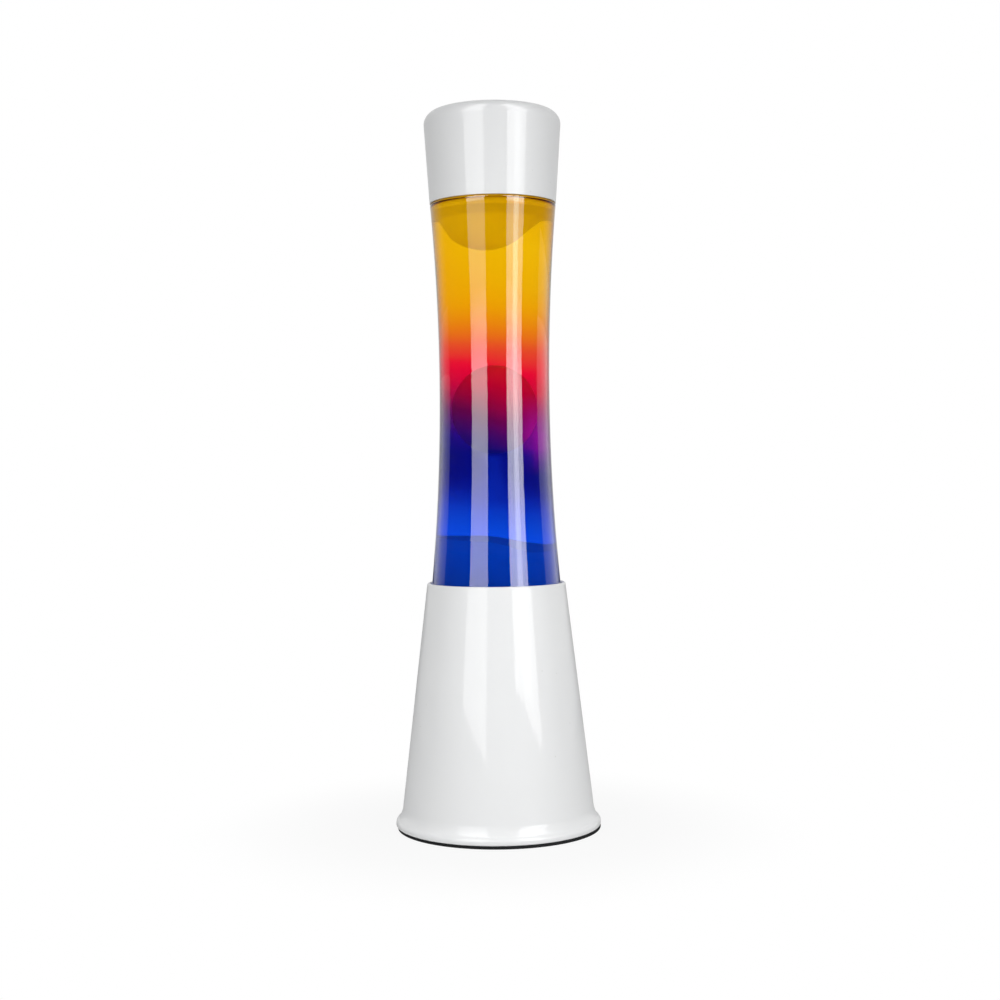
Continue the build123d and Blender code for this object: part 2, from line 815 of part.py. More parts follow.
save(base_shell(), "base_shell")
save(cord_grommet(), "cord_grommet")
save(base_pad(), "base_pad")
save(bottle_seat(), "bottle_seat")
save(base_plate(), "base_plate")
save(Compound(ring_of(lug_count, 0.0, plate_lug(), 30.0)), "plate_lugs")
save(Compound(ring_of(lug_count, 0.0, plate_screw(), 30.0)), "plate_screws")
save(holder_bracket(), "holder_bracket")
save(Compound(ring_of(2, rivet_x, bracket_rivet())), "bracket_rivets")
save(holder_nipple(), "holder_nipple")
save(nipple_nut(), "nipple_nut")
save(holder_body(), "holder_body")
save(holder_sleeve(), "holder_sleeve")
save(centre_contact(), "centre_contact")
save(Compound(ring_of(2, 0.0, terminal_block())), "terminal_blocks")
save(Compound(ring_of(2, 0.0, terminal_screw())), "terminal_screws")
save(bulb_glass(), "bulb_glass")
save(bulb_cap(), "bulb_cap")
save(bulb_insulator(), "bulb_insulator")
save(bulb_contact(), "bulb_contact")
save(bulb_stem(), "bulb_stem")
save(Compound(bulb_leads()), "bulb_leads")
save(bulb_filament(), "bulb_filament")
save(bottle_glass(), "bottle_glass")
save(crown_cap(), "crown_cap")
save(crown_liner(), "crown_liner")
save(heating_coil(), "heating_coil")
save(liquid(), "liquid")
save(wax_top(), "wax_top")
save(wax_pool(), "wax_pool")
save(wax_blob(), "wax_blob")
save(cap_shell(), "cap_shell")

print("least gap of the coil to itself, mm:", round(coil_gap(), 2))
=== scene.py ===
import math

import bpy
from mathutils import Matrix, Vector


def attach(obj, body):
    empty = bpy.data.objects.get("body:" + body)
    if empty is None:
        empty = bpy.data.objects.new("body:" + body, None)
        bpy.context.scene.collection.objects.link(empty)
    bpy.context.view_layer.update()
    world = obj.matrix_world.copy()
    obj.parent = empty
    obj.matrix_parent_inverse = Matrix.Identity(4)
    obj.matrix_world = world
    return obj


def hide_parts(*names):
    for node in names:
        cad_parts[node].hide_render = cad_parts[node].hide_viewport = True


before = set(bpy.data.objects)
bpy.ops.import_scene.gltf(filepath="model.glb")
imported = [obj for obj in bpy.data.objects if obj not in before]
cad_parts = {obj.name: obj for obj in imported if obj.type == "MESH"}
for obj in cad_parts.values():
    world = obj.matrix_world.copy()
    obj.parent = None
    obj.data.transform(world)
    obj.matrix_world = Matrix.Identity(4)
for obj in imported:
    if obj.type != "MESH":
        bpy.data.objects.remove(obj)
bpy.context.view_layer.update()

mm = 0.001


# ---- The camera ----
# It stands level, 88 cm in front of the lamp's axis, and leans a little more than half a
# degree. The shift puts the horizon where the photograph has it.
picture_side = 1000.0  # px
focal_length = 1600.0  # px
horizon = 468.0  # px from the top
camera_place = Vector((2.6, -880.0, 196.7)) * mm
camera_lean = math.radians(0.55)
camera_data = bpy.data.cameras.new("camera")
camera_data.sensor_width = 36.0
camera_data.lens = focal_length / picture_side * camera_data.sensor_width
camera_data.shift_y = horizon / picture_side - 0.5
camera = bpy.data.objects.new("camera", camera_data)
level = Matrix.Rotation(math.radians(90.0), 4, "X") @ Matrix.Rotation(-camera_lean, 4, "Z")
camera.matrix_world = Matrix.Translation(camera_place) @ level
bpy.context.scene.collection.objects.link(camera)
bpy.context.scene.camera = camera
bpy.context.scene.view_settings.view_transform = "Standard"


# ---- The studio ----
# A white surround that lights the lamp evenly, dark only behind the camera, as a room is. Two
# upright softboxes draw the stripes on the gloss. White cards stand at both sides behind the
# lamp, for the pale bands along the glass's edges, and two low fills light the matt surfaces.
def linear(colour):
    """An sRGB hex colour as the linear colour that a socket takes."""
    shares = [int(colour[i:i + 2], 16) / 255.0 for i in (0, 2, 4)]
    return [x / 12.92 if x <= 0.04045 else ((x + 0.055) / 1.055) ** 2.4 for x in shares] + [1.0]


def add(tree, kind, inputs=None, **settings):
    """Adds a node: settings go on the node itself, inputs on its sockets, by value or by link."""
    node = tree.nodes.new(kind)
    for name, value in settings.items():
        setattr(node, name, value)
    for socket, value in (inputs or {}).items():
        if isinstance(value, bpy.types.NodeSocket):
            tree.links.new(value, node.inputs[socket])
        else:
            node.inputs[socket].default_value = value
    return node


def calc(tree, operation, *values):
    """The result of one operation on values or links."""
    return add(tree, "ShaderNodeMath", dict(enumerate(values)), operation=operation).outputs[0]


def mapped(tree, value, low, high, first=0.0, last=1.0, kind="LINEAR"):
    """A value that goes from first to last while another goes from low to high."""
    return add(tree, "ShaderNodeMapRange", {"Value": value, "From Min": low, "From Max": high,
               "To Min": first, "To Max": last}, interpolation_type=kind).outputs[0]


horizon_level, zenith_level = 0.60, 0.68
room_level, back_level, back_start, back_full = 0.04, 0.75, 0.20, 0.95
world = bpy.data.worlds.new("studio")
world.use_nodes = True
tree = world.node_tree
tree.nodes.clear()
ray = add(tree, "ShaderNodeLightPath").outputs
direction = add(tree, "ShaderNodeTexCoord").outputs["Generated"]
way = add(tree, "ShaderNodeSeparateXYZ", {0: direction}).outputs
surround = mapped(tree, way["Z"], 0.0, 1.0, horizon_level, zenith_level)
backdrop = mapped(tree, way["Y"], back_start, back_full, room_level, back_level, kind="SMOOTHSTEP")
mirrored = add(tree, "ShaderNodeMix",
               {0: ray["Is Glossy Ray"], 2: surround, 3: backdrop}).outputs[0]
seen = calc(tree, "MAXIMUM", ray["Is Camera Ray"], ray["Is Transmission Ray"])
strength = add(tree, "ShaderNodeMix", {0: seen, 2: mirrored, 3: 1.0}).outputs[0]
glow = add(tree, "ShaderNodeBackground",
           {"Color": linear("ffffff"), "Strength": strength}).outputs[0]
add(tree, "ShaderNodeOutputWorld", {"Surface": glow})
bpy.context.scene.world = world


def softbox(name, distance, left, right, low, high, radiance, fill):
    """An upright strip light: left and right are its edges in degrees from the camera's side.
    A fill light lights matt surfaces alone, and any other is seen only in gloss."""
    light = bpy.data.lights.new(name, "AREA")
    light.shape = "RECTANGLE"
    light.size = 2 * distance * math.tan(math.radians(right - left) / 2)
    light.size_y = high - low
    light.energy = radiance * math.pi * light.size * light.size_y
    place = bpy.data.objects.new(name, light)
    turn = Matrix.Rotation(math.radians(left + right) / 2, 4, "Z")
    stand = Matrix.Translation((0.0, -distance, (low + high) / 2))
    place.matrix_world = turn @ stand @ Matrix.Rotation(math.radians(90.0), 4, "X")
    place.visible_camera = False
    place.visible_transmission = False
    place.visible_diffuse = fill
    place.visible_glossy = not fill
    bpy.context.scene.collection.objects.link(place)


# Each strip dims about a third of the way up and then shines again. A list holds the heights
# in m where its bands begin, and their radiances.
strip_away, strip_top, high_top = 1.0, 0.66, 3.20  # m
left_bands = [(0.134, 5.3), (0.274, 6.0), (0.298, 5.2), (0.303, 4.4), (0.308, 3.6), (0.313, 2.8),
              (0.318, 2.2), (0.362, 5.8), (0.47, 6.4)]
right_bands = [(0.166, 7.9), (0.300, 7.0), (0.304, 6.1), (0.308, 5.2), (0.313, 4.3), (0.318, 3.5),
               (0.362, 7.9), (0.47, 8.8)]
strips = (("left", -47.5, -14.5, left_bands), ("right", 25.0, 58.0, right_bands))
for side, left, right, bands in strips:
    tops = [low for low, radiance in bands[1:]] + [strip_top]
    for (low, radiance), high in zip(bands, tops):
        softbox("softbox_" + side, strip_away, left, right, low, high, radiance, False)

# Their lower ends are masked to a point. Each list holds heights and the strip's own left edge.
left_foot = [(0.102, -20.0), (0.110, -26.0), (0.118, -33.0), (0.126, -40.0), (0.134, -47.5)]
right_foot = [(0.088, 53.0), (0.101, 49.0), (0.114, 45.0), (0.127, 41.0), (0.140, 36.5),
              (0.153, 31.0), (0.166, 25.0)]
feet = (("left", -14.5, 5.3, left_foot), ("right", 58.0, 6.8, right_foot))
for side, right, radiance, steps in feet:
    highs = [high for high, left in steps[1:]]
    for (low, left), high in zip(steps, highs):
        softbox("softbox_foot_" + side, strip_away, left, right, low, high, radiance, False)

# The strips' high ends, the right one's hot core, the cards and the fills: a name, the distance
# in m, the left and right edges in degrees, the low and high ends in m, the radiance, and
# whether it fills.
for panel in (("softbox_left_high", strip_away, -52.0, -14.5, strip_top, high_top, 9.0, False),
              ("softbox_right_high", strip_away, 28.0, 64.0, strip_top, high_top, 10.0, False),
              ("softbox_core", strip_away, 38.0, 48.0, 0.150, strip_top, 4.0, False),
              ("card_left", 1.0, -146.0, -104.5, 0.0, 0.30, 0.28, False),
              ("card_left_tall", 1.0, -140.0, -106.0, 0.0, 0.345, 0.20, False),
              ("card_right", 1.0, 98.0, 145.0, 0.0, 0.335, 0.45, False),
              ("card_right_tall", 1.0, 99.5, 140.0, 0.0, 0.385, 0.35, False),
              ("fill_left", 0.5, -45.0, -5.0, 0.10, 0.34, 1.85, True),
              ("fill_right", 0.5, 5.0, 50.0, 0.10, 0.34, 2.6, True)):
    softbox(*panel)


# ---- The floor ----
# A white sweep. It takes the lamp's soft shadow close by and fades into the white surround.
def blank_material(name):
    """A material with an empty node tree."""
    made = bpy.data.materials.new(name)
    made.use_nodes = True
    made.node_tree.nodes.clear()
    return made, made.node_tree


def blend(tree, share, one, other):
    """A mix of two colours, each an sRGB hex colour or a link."""
    one, other = (linear(colour) if isinstance(colour, str) else colour for colour in (one, other))
    return add(tree, "ShaderNodeMix", {0: share, 6: one, 7: other}, data_type="RGBA").outputs[2]


floor_half, floor_drop = 4.0, 0.0001  # m
shadow_share, shadow_start, shadow_reach = 0.10, 0.06, 0.18
light_reach, dim_reach = 0.35, 0.70  # m
floor_mesh = bpy.data.meshes.new("floor")
corners = [(x * floor_half, y * floor_half, -floor_drop)
           for x, y in ((-1, -1), (1, -1), (1, 1), (-1, 1))]
floor_mesh.from_pydata(corners, [], [(0, 1, 2, 3)])
floor = bpy.data.objects.new("floor", floor_mesh)
bpy.context.scene.collection.objects.link(floor)
sweep, tree = blank_material("white_paper_sweep")
ray = add(tree, "ShaderNodeLightPath").outputs
place = add(tree, "ShaderNodeTexCoord").outputs["Object"]
distance = add(tree, "ShaderNodeVectorMath", {0: place}, operation="LENGTH").outputs["Value"]
paper = mapped(tree, distance, shadow_start, shadow_reach, 1.0 - shadow_share, 1.0,
               kind="SMOOTHSTEP")
seen = calc(tree, "MAXIMUM", ray["Is Camera Ray"], ray["Is Transmission Ray"])
shown = calc(tree, "MULTIPLY", seen, paper)
spread = mapped(tree, distance, light_reach, dim_reach, kind="SMOOTHSTEP")
tone = blend(tree, spread, "c4c4c4", "8c8c8c")
matt = add(tree, "ShaderNodeBsdfDiffuse", {"Color": tone}).outputs[0]
white = add(tree, "ShaderNodeEmission", {"Color": linear("ffffff"), "Strength": 1.0}).outputs[0]
surface = add(tree, "ShaderNodeMixShader", {0: shown, 1: matt, 2: white}).outputs[0]
add(tree, "ShaderNodeOutputMaterial", {"Surface": surface})
floor_mesh.materials.append(sweep)


# ---- Foot pad ----
# A ring cut from black cellular foam sheet, stuck under the rolled foot, so that the steel
# doesn't slide or scratch. It shows as a thin black line under the lamp.
crease = math.radians(35.0)


def mesh_of(name, points, faces, made):
    """A smooth-shaded piece from points in mm, with its edges kept sharp past the crease angle."""
    mesh = bpy.data.meshes.new(name)
    mesh.from_pydata([(x * mm, y * mm, z * mm) for x, y, z in points], [], faces)
    mesh.polygons.foreach_set("use_smooth", [True] * len(mesh.polygons))
    mesh.set_sharp_from_angle(angle=crease)
    mesh.materials.append(made)
    piece = bpy.data.objects.new(name, mesh)
    bpy.context.scene.collection.objects.link(piece)
    return piece


def turned(name, outline, made, steps=192):
    """A turned piece. The outline is the closed half section, points of radius and height in mm."""
    pairs = list(zip(outline, outline[1:] + outline[:1]))
    if sum(a[0] * b[1] - b[0] * a[1] for a, b in pairs) < 0:
        outline = outline[::-1]
    points = []
    rings = []
    for r, z in outline:
        if r < 1e-6:
            rings.append([len(points)] * steps)
            points.append((0.0, 0.0, z))
            continue
        rings.append(list(range(len(points), len(points) + steps)))
        for i in range(steps):
            angle = 2 * math.pi * i / steps
            points.append((r * math.cos(angle), r * math.sin(angle), z))
    faces = []
    for low, high in zip(rings, rings[1:] + rings[:1]):
        for i in range(steps):
            j = (i + 1) % steps
            face = list(dict.fromkeys((low[i], low[j], high[j], high[i])))
            if len(face) > 2:
                faces.append(face)
    return mesh_of(name, points, faces, made)


def run(start, heading, moves, step=6.0):
    """A line that leaves start in a heading, in degrees, and makes each move: a length with a
    turn of 0, or a bend's radius with its turn in degrees, left turns positive."""
    x, z = start
    line = [(x, z)]
    for size, turn in moves:
        if turn == 0:
            x += size * math.cos(math.radians(heading))
            z += size * math.sin(math.radians(heading))
            line.append((x, z))
            continue
        side = math.copysign(size, turn)
        centre_x = x - side * math.sin(math.radians(heading))
        centre_z = z + side * math.cos(math.radians(heading))
        parts = max(2, math.ceil(abs(turn) / step))
        for i in range(1, parts + 1):
            now = math.radians(heading + turn * i / parts)
            line.append((centre_x + side * math.sin(now), centre_z - side * math.cos(now)))
        heading += turn
        x, z = line[-1]
    return line


def beside(line, gap):
    """A line that runs at a distance to the left of another, or to its right where negative."""
    moved = []
    for i, (x, z) in enumerate(line):
        before = Vector(line[i]) - Vector(line[max(i - 1, 0)])
        after = Vector(line[min(i + 1, len(line) - 1)]) - Vector(line[i])
        ways = [way.normalized() for way in (before, after) if way.length > 1e-6]
        way = sum(ways, Vector((0.0, 0.0))).normalized()
        reach = gap / max(way.dot(ways[0]), 0.5)
        moved.append((x - way.y * reach, z + way.x * reach))
    return moved


def bumps(tree, height, strength, depth):
    """A relief that follows a height, with a depth in mm."""
    return add(tree, "ShaderNodeBump", {"Height": height, "Strength": strength,
               "Distance": depth * mm}).outputs[0]


def skin(tree, inputs):
    """Ends a material's tree with a surface that takes these inputs."""
    shader = add(tree, "ShaderNodeBsdfPrincipled", inputs)
    add(tree, "ShaderNodeOutputMaterial", {"Surface": shader.outputs[0]})


pad_inner, pad_outer, pad_thick, pad_shift, pad_edge = 45.28, 55.6, 1.8, 0.4, 0.25
pad_width = pad_outer - pad_inner - 2 * pad_edge
pad_rise = pad_thick - 2 * pad_edge
corner = (pad_edge, 90.0)
pad_outline = run((pad_inner + pad_edge, 0.0), 0.0,
                  ([(pad_width, 0), corner, (pad_rise, 0), corner] * 2)[:-1])

# Cross-linked foam, split from a block: matt black, with cut cells of about 0.4 mm, drawn
# a little coarser than they are.
foam, tree = blank_material("split_cellular_foam")
place = add(tree, "ShaderNodeTexCoord").outputs["Object"]
cells = add(tree, "ShaderNodeTexVoronoi",
            {"Vector": place, "Scale": 1 / (0.5 * mm)}).outputs["Distance"]
pores = mapped(tree, cells, 0.1, 0.6)
tone = blend(tree, pores, "070708", "1e1f21")
relief = bumps(tree, cells, 0.6, 0.1)
skin(tree, {"Base Color": tone, "Roughness": 0.92, "IOR": 1.45, "Specular IOR Level": 0.2,
            "Normal": relief})
pad = turned("foot_pad", pad_outline, foam)
for vertex in pad.data.vertices:
    vertex.co.x += pad_shift * mm
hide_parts("base_pad")
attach(pad, "base")


# ---- Spun cone ----
# The base: a steel disc spun over a former to a cone, its top edge hemmed and its foot swept
# out and rolled under, then coated white inside and out. The cord's hole is punched at the back.
def noise(tree, place, size, detail=2.0):
    """Soft noise whose patches have a size in mm."""
    return add(tree, "ShaderNodeTexNoise", {"Vector": place, "Scale": 1 / (size * mm),
               "Detail": detail}).outputs["Fac"]


sheet = 1.0
rim_r, rim_z, hem_width, hem_depth = 38.0, 134.0, 2.1, 5.0
foot_r, flare_z, lip_corner, flange = 52.28, 11.7, 0.5, 3.4
flare = [(13.0, 22.0), (14.0, 9.0), (3.0, 24.0), (2.6, -55.0)]
hem_round = hem_width / 2
cone_top = rim_z - hem_round
cone_angle = math.degrees(math.atan2(foot_r - rim_r, cone_top - flare_z))
flare[0] = (flare[0][0], flare[0][1] - cone_angle)
lip = run((foot_r, flare_z), cone_angle - 90.0, flare, step=2.0)
lip_drop = lip[-1][1] - pad_thick - lip_corner
rolled = run(lip[-1], -90.0, [(lip_drop, 0), (lip_corner, -90.0), (flange, 0)], step=15.0)
outer = [(rim_r, cone_top)] + lip + rolled[1:]
hem_foot = rim_z - hem_depth
hem_back = rim_r + (cone_top - hem_foot) * math.tan(math.radians(cone_angle)) - sheet
inner = [point for point in beside(outer, -sheet) if point[1] < hem_foot][::-1]
hem = run((rim_r - hem_width, hem_foot), 90.0, [(hem_depth - hem_round, 0), (hem_round, -180.0)],
          step=12.0)
cone_outline = outer + inner + [(hem_back, hem_foot)] + hem[:-1]

# Stoved white enamel on steel: a hard gloss with a fine orange peel of about 2 mm, a few
# pinheads of dust under the coat, and a tone that drifts by a shade from place to place.
enamel, tree = blank_material("stoved_white_enamel")
place = add(tree, "ShaderNodeTexCoord").outputs["Object"]
drift = noise(tree, place, 45, 2.0)
peel = noise(tree, place, 2.2, 1.0)
dust = add(tree, "ShaderNodeTexVoronoi",
           {"Vector": place, "Scale": 1 / (9 * mm)}).outputs["Distance"]
specks = mapped(tree, dust, 0.02, 0.045, 1.0, 0.0)
tone = blend(tree, drift, "eeeff0", "f4f5f5")
tone = blend(tree, specks, tone, "dcdddb")
gloss = mapped(tree, drift, 0.3, 0.7, 0.016, 0.036)
relief = bumps(tree, peel, 0.12, 0.05)
skin(tree, {"Base Color": tone, "Roughness": 0.5, "IOR": 1.5, "Specular IOR Level": 0.12,
            "Coat Weight": 0.38, "Coat Roughness": gloss, "Coat IOR": 1.5, "Coat Normal": relief,
            "Normal": relief})
cone = turned("spun_cone", cone_outline, enamel, steps=256)

cord_hole_z, cord_hole_r, cord_hole_reach = 22.0, 5.4, (40.0, 60.0)
cutter_mesh = bpy.data.meshes.new("cord_hole")
sides = 32
angles = [2 * math.pi * i / sides for i in range(sides)]
ring = [(cord_hole_r * math.cos(angle), cord_hole_r * math.sin(angle)) for angle in angles]
ends = [[(x * mm, y * mm, (cord_hole_z + z) * mm) for x, z in ring] for y in cord_hole_reach]
walls = [(i, i + sides, (i + 1) % sides + sides, (i + 1) % sides) for i in range(sides)]
caps = [tuple(range(sides)), tuple(range(2 * sides - 1, sides - 1, -1))]
cutter_mesh.from_pydata(ends[0] + ends[1], [], walls + caps)
cutter = bpy.data.objects.new("cord_hole", cutter_mesh)
bpy.context.scene.collection.objects.link(cutter)


def cut(piece, tool):
    """Cuts a tool out of a piece for good, and clears the tool away."""
    modifier = piece.modifiers.new("cut", "BOOLEAN")
    modifier.operation = "DIFFERENCE"
    modifier.object = tool
    graph = bpy.context.evaluated_depsgraph_get()
    piece.data = bpy.data.meshes.new_from_object(piece.evaluated_get(graph), depsgraph=graph)
    piece.modifiers.remove(modifier)
    bpy.data.objects.remove(tool)


cut(cone, cutter)
cone.data.name = "spun_cone"
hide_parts("base_shell")
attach(cone, "base")


# ---- Cord ring ----
# A ring of black rubber in the punched hole, which guards the cord from the sheet's edge.
def dress(names, made):
    """Gives CAD nodes that show their material."""
    for name in names:
        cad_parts[name].data.materials.clear()
        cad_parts[name].data.materials.append(made)


# Moulded chloroprene rubber: a dull black with a grey bloom in patches.
rubber, tree = blank_material("moulded_black_rubber")
place = add(tree, "ShaderNodeTexCoord").outputs["Object"]
bloom = noise(tree, place, 3, 4.0)
tone = blend(tree, bloom, "141415", "262627")
relief = bumps(tree, bloom, 0.2, 0.05)
skin(tree, {"Base Color": tone, "Roughness": 0.62, "IOR": 1.52, "Normal": relief})
dress(["cord_grommet"], rubber)


# ---- Pressed steel inside the base ----
# The ring that the bottle stands on, the closing plate, its lugs, the strap and its rivets are
# pressed from zinc-plated sheet. The ring is spot-welded in the cone, the strap riveted.
def metal(name, dark, light, grain, roughness, stretch=1.0):
    """A bare metal: a tone and a roughness that both drift with the grain, given in mm."""
    made, tree = blank_material(name)
    place = add(tree, "ShaderNodeTexCoord").outputs["Object"]
    scaled = add(tree, "ShaderNodeMapping",
                 {"Vector": place, "Scale": (1.0, 1.0, stretch)}).outputs[0]
    drift = noise(tree, scaled, grain, 5.0)
    tone = blend(tree, drift, dark, light)
    dull = mapped(tree, drift, 0.3, 0.7, roughness[0], roughness[1])
    relief = bumps(tree, drift, 0.15, 0.02)
    skin(tree, {"Base Color": tone, "Metallic": 1.0, "Roughness": dull, "Normal": relief})
    return made


# Electroplated zinc: a cool grey with a soft sheen and cloudy patches of a few millimetres.
zinc = metal("electroplated_zinc", "8f9498", "c3c8cb", 5.0, (0.28, 0.45))
dress(["bottle_seat", "base_plate", "plate_lugs", "holder_bracket", "bracket_rivets", "nipple_nut"],
      zinc)


# ---- Plate screws ----
# Three pan-head screws with a cross recess hold the closing plate to the lugs.
def geometry_tree(name, inputs):
    """An empty Geometry Nodes tree with named inputs, and the sockets of the node that brings them
    in.
    """
    tree = bpy.data.node_groups.new(name, "GeometryNodeTree")
    tree.interface.new_socket("Geometry", in_out="INPUT", socket_type="NodeSocketGeometry")
    for label, kind in inputs.items():
        tree.interface.new_socket(label, in_out="INPUT", socket_type="NodeSocket" + kind)
    tree.interface.new_socket("Geometry", in_out="OUTPUT", socket_type="NodeSocketGeometry")
    return tree, add(tree, "NodeGroupInput").outputs


def close_tree(tree, geometry, made):
    """Ends a tree: what it made becomes plain mesh with its material."""
    real = add(tree, "GeometryNodeRealizeInstances", {0: geometry}).outputs[0]
    painted = add(tree, "GeometryNodeSetMaterial", {"Geometry": real, "Material": made}).outputs[0]
    add(tree, "NodeGroupOutput", {0: painted})


def made_by(tree, piece, values):
    """Runs a tree on a piece and keeps the result as its plain mesh."""
    modifier = piece.modifiers.new("rule", "NODES")
    modifier.node_group = tree
    sockets = [item for item in tree.interface.items_tree if item.in_out == "INPUT"]
    for socket in sockets:
        if socket.name in values:
            modifier[socket.identifier] = values[socket.name]
    graph = bpy.context.evaluated_depsgraph_get()
    piece.data = bpy.data.meshes.new_from_object(piece.evaluated_get(graph), depsgraph=graph)
    piece.modifiers.remove(modifier)
    piece.data.polygons.foreach_set("use_smooth", [True] * len(piece.data.polygons))
    piece.data.set_sharp_from_angle(angle=crease)


screw_ring_r, screw_r, screw_head_r, screw_head, screw_length = 41.36, 1.5, 2.9, 1.5, 6.5
plate_z, head_round = 2.0, 0.9
slot_length, slot_width, slot_depth, first_screw = 3.0, 0.7, 1.6, 30.0
screw_outline = [(0.0, plate_z - screw_head)]
screw_outline += run((screw_head_r - head_round, plate_z - screw_head), 0.0,
                     [(head_round, 90.0), (screw_head - head_round, 0)], step=15.0)
screw_tip = plate_z + screw_length
screw_outline += [(screw_r, plate_z), (screw_r, screw_tip), (0.0, screw_tip)]
screws = turned("plate_screws_crossed", screw_outline, zinc, steps=48)
tree, wanted = geometry_tree("crossed_screws", {
    "Count": "Int", "Ring radius": "Float", "First angle": "Float", "Slot length": "Float",
    "Slot width": "Float", "Slot depth": "Float", "Head z": "Float"})
slot_size = add(tree, "ShaderNodeCombineXYZ", {0: wanted["Slot length"], 1: wanted["Slot width"],
                2: wanted["Slot depth"]}).outputs[0]
bar = add(tree, "GeometryNodeMeshCube", {"Size": slot_size}).outputs[0]
lift = add(tree, "ShaderNodeCombineXYZ", {2: wanted["Head z"]}).outputs[0]
bar_one = add(tree, "GeometryNodeTransform", {"Geometry": bar, "Translation": lift}).outputs[0]
bar_two = add(tree, "GeometryNodeTransform", {"Geometry": bar, "Translation": lift,
              "Rotation": (0.0, 0.0, math.radians(90.0))}).outputs[0]
crossed = add(tree, "GeometryNodeMeshBoolean",
              {"Mesh 1": wanted["Geometry"], "Mesh 2": bar_one}).outputs[0]
crossed = add(tree, "GeometryNodeMeshBoolean", {"Mesh 1": crossed, "Mesh 2": bar_two}).outputs[0]
ring = add(tree, "GeometryNodeMeshCircle",
           {"Vertices": wanted["Count"], "Radius": wanted["Ring radius"]}).outputs[0]
first = add(tree, "ShaderNodeCombineXYZ", {2: wanted["First angle"]}).outputs[0]
ring = add(tree, "GeometryNodeTransform", {"Geometry": ring, "Rotation": first}).outputs[0]
drive = add(tree, "FunctionNodeRandomValue", {3: math.pi, "Seed": 4}, data_type="FLOAT").outputs[1]
spin = add(tree, "ShaderNodeCombineXYZ", {2: drive}).outputs[0]
copies = add(tree, "GeometryNodeInstanceOnPoints",
             {"Points": ring, "Instance": crossed, "Rotation": spin}).outputs[0]
close_tree(tree, copies, zinc)
made_by(tree, screws, {
    "Count": 3, "Ring radius": screw_ring_r * mm, "First angle": math.radians(first_screw),
    "Slot length": slot_length * mm, "Slot width": slot_width * mm,
    "Slot depth": slot_depth * mm, "Head z": (plate_z - screw_head) * mm})
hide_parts("plate_screws")
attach(screws, "base")


# ---- Lamp holder ----
# A moulded body on a hollow nipple, with a threaded sleeve, a spring contact and two clamps.
# Phenolic moulding: near black, a dull gloss, with faint flow marks.
phenolic, tree = blank_material("moulded_phenolic")
place = add(tree, "ShaderNodeTexCoord").outputs["Object"]
flow = add(tree, "ShaderNodeTexNoise", {"Vector": place, "Scale": 1 / (6 * mm), "Detail": 3.0,
           "Distortion": 1.5}).outputs["Fac"]
tone = blend(tree, flow, "1a1614", "2c2522")
gloss = mapped(tree, flow, 0.0, 1.0, 0.25, 0.5)
skin(tree, {"Base Color": tone, "Roughness": gloss, "IOR": 1.6})
dress(["holder_body"], phenolic)

# Drawn and stamped brass: warm yellow, drawn lines, browned where fingers and heat reach.
brass = metal("drawn_brass", "9a7a3c", "cfae62", 2.0, (0.22, 0.4), 0.2)
dress(["holder_nipple", "terminal_blocks", "terminal_screws", "centre_contact"], brass)

thread_pitch, wave_step = 2.82, 0.2


def pressed_wave(made):
    """A tree that presses waves into a turned piece: Count round it, or one climbing with Rise."""
    tree, wanted = geometry_tree("pressed_wave", {
        "Count": "Float", "Rise": "Float", "Depth": "Float", "Low": "Float",
        "Low full": "Float", "High full": "Float", "High": "Float"})
    position = add(tree, "GeometryNodeInputPosition").outputs[0]
    at = add(tree, "ShaderNodeSeparateXYZ", {0: position}).outputs
    angle = calc(tree, "ARCTAN2", at["Y"], at["X"])
    round_it = calc(tree, "MULTIPLY", angle, wanted["Count"])
    climb = calc(tree, "DIVIDE", at["Z"], wanted["Rise"])
    phase = calc(tree, "MULTIPLY_ADD", climb, -2 * math.pi, round_it)
    wave = calc(tree, "COSINE", phase)
    start = mapped(tree, at["Z"], wanted["Low"], wanted["Low full"], kind="SMOOTHSTEP")
    end = mapped(tree, at["Z"], wanted["High"], wanted["High full"], kind="SMOOTHSTEP")
    height = calc(tree, "MULTIPLY", wave, wanted["Depth"])
    height = calc(tree, "MULTIPLY", height, start)
    height = calc(tree, "MULTIPLY", height, end)
    flat = add(tree, "ShaderNodeCombineXYZ", {0: at["X"], 1: at["Y"]}).outputs[0]
    outwards = add(tree, "ShaderNodeVectorMath", {0: flat}, operation="NORMALIZE").outputs[0]
    move = add(tree, "ShaderNodeVectorMath", {0: outwards, "Scale": height},
               operation="SCALE").outputs[0]
    pressed = add(tree, "GeometryNodeSetPosition",
                  {"Geometry": wanted["Geometry"], "Offset": move}).outputs[0]
    close_tree(tree, pressed, made)
    return tree


def tube_outline(inner_r, outer_r, low, high, step):
    """The half section of a tube with points all along its walls, so that they can be pressed."""
    parts = math.ceil((high - low) / step)
    heights = [low + (high - low) * i / parts for i in range(parts + 1)]
    return [(outer_r, z) for z in heights] + [(inner_r, z) for z in reversed(heights)]


brass_thread = pressed_wave(brass)
sleeve_in, sleeve_out, sleeve_low, sleeve_high = 7.0, 7.45, 23.5, 39.5
sleeve_wave, sleeve_fade = 0.3, 1
sleeve_outline = tube_outline(sleeve_in, sleeve_out, sleeve_low, sleeve_high, wave_step)
sleeve = turned("holder_sleeve_threaded", sleeve_outline, brass, steps=96)
made_by(brass_thread, sleeve, {
    "Count": 1.0, "Rise": thread_pitch * mm, "Depth": sleeve_wave * mm, "Low": sleeve_low * mm,
    "Low full": (sleeve_low + sleeve_fade) * mm, "High full": (sleeve_high - sleeve_fade) * mm,
    "High": sleeve_high * mm})
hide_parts("holder_sleeve")
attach(sleeve, "base")


